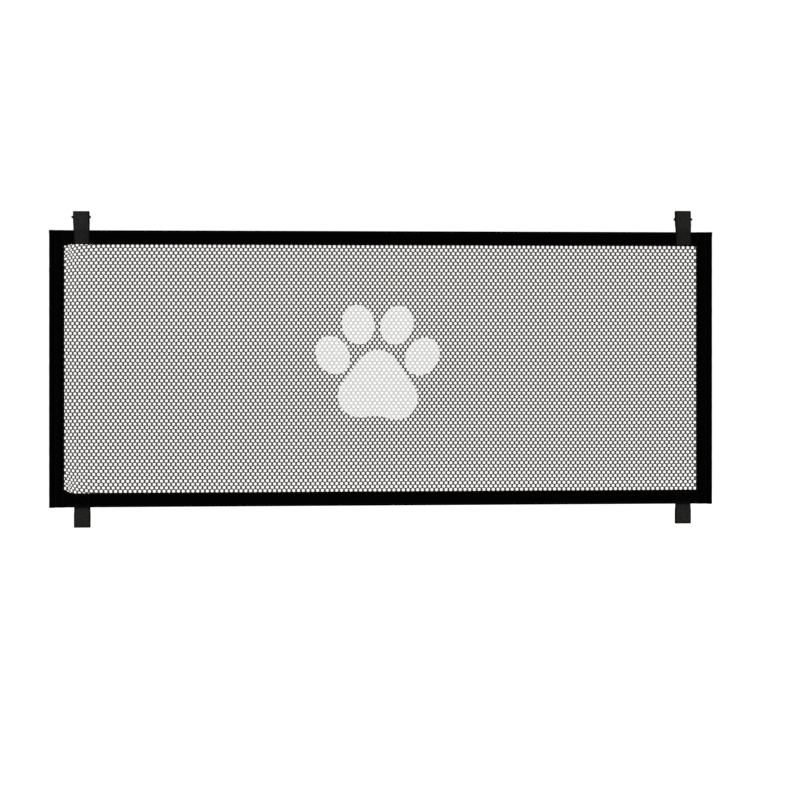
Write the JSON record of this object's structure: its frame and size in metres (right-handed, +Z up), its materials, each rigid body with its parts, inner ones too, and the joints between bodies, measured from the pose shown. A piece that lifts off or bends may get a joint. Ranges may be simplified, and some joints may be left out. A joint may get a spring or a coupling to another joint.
{
  "type": "pet gate",
  "caption": "Wide mesh pet gate: a net panel with a black fabric border, a rod in each side sleeve and webbing loops at the corners that hang on wall hooks.",
  "frame": {"origin": "under the middle of the gate, level with the folds of the two lower loops, the lowest points of the gate", "axes": "+X along the width, to the right seen from the front; +Y from the front to the back, through the net; +Z up"},
  "size_m": [1.8, 0.0174, 0.858],
  "materials": {
    "net_yarn": "warp-knitted polyester net, dark grey",
    "border_tape": "dense black polyester fabric, matt",
    "webbing": "ribbed charcoal webbing",
    "bar_plastic": "moulded black plastic, satin",
    "rod_plastic": "extruded off-white plastic tube",
    "print_ink": "white screen print on the net's yarns, used by the looks only",
    "thread": "black sewing thread, used by the looks only",
    "cap_plastic": "moulded black plastic, matt"
  },
  "bodies": {
    "panel": {"net_panel": "net_yarn", "top_border": "border_tape", "bottom_border": "border_tape", "left_sleeve": "border_tape", "right_sleeve": "border_tape", "top_left_strap_root": "webbing", "top_right_strap_root": "webbing", "bottom_left_strap_root": "webbing", "bottom_right_strap_root": "webbing"},
    "left_support_rod": {"left_rod": "rod_plastic", "left_rod_top_cap": "cap_plastic", "left_rod_bottom_cap": "cap_plastic"},
    "right_support_rod": {"right_rod": "rod_plastic", "right_rod_top_cap": "cap_plastic", "right_rod_bottom_cap": "cap_plastic"},
    "top_left_loop": {"top_left_strap_loop": "webbing"},
    "top_right_loop": {"top_right_strap_loop": "webbing"},
    "bottom_left_loop": {"bottom_left_strap_loop": "webbing"},
    "bottom_right_loop": {"bottom_right_strap_loop": "webbing"},
    "left_bar": {"left_hanging_bar": "bar_plastic"},
    "right_bar": {"right_hanging_bar": "bar_plastic"}
  },
  "joints": [
    {"name": "left_rod_slide", "type": "slide", "parent": "panel", "child": "left_support_rod", "axis": [0, 0, 1], "range_m": [0, 0.75]},
    {"name": "right_rod_slide", "type": "slide", "parent": "panel", "child": "right_support_rod", "axis": [0, 0, 1], "range_m": [0, 0.75]},
    {"name": "top_left_loop_fold", "type": "hinge", "parent": "panel", "child": "top_left_loop", "pos_m": [-0.8125, -0.0037, 0.8022], "axis": [1, 0, 0], "range_deg": [-90, 90], "stiffness_Nm_per_rad": 0.03},
    {"name": "top_right_loop_fold", "type": "hinge", "parent": "panel", "child": "top_right_loop", "pos_m": [0.82, -0.0037, 0.8022], "axis": [1, 0, 0], "range_deg": [-90, 90], "stiffness_Nm_per_rad": 0.03},
    {"name": "bottom_left_loop_fold", "type": "hinge", "parent": "panel", "child": "bottom_left_loop", "pos_m": [-0.8125, 0.0037, 0.0528], "axis": [1, 0, 0], "range_deg": [-90, 90], "stiffness_Nm_per_rad": 0.03},
    {"name": "bottom_right_loop_fold", "type": "hinge", "parent": "panel", "child": "bottom_right_loop", "pos_m": [0.82, 0.0037, 0.0528], "axis": [1, 0, 0], "range_deg": [-90, 90], "stiffness_Nm_per_rad": 0.03},
    {"name": "left_bar_slide", "type": "slide", "parent": "top_left_loop", "child": "left_bar", "axis": [0, 0, 1], "range_m": [-0.012, 0.011]},
    {"name": "right_bar_slide", "type": "slide", "parent": "top_right_loop", "child": "right_bar", "axis": [0, 0, 1], "range_m": [-0.012, 0.0182]}
  ]
}
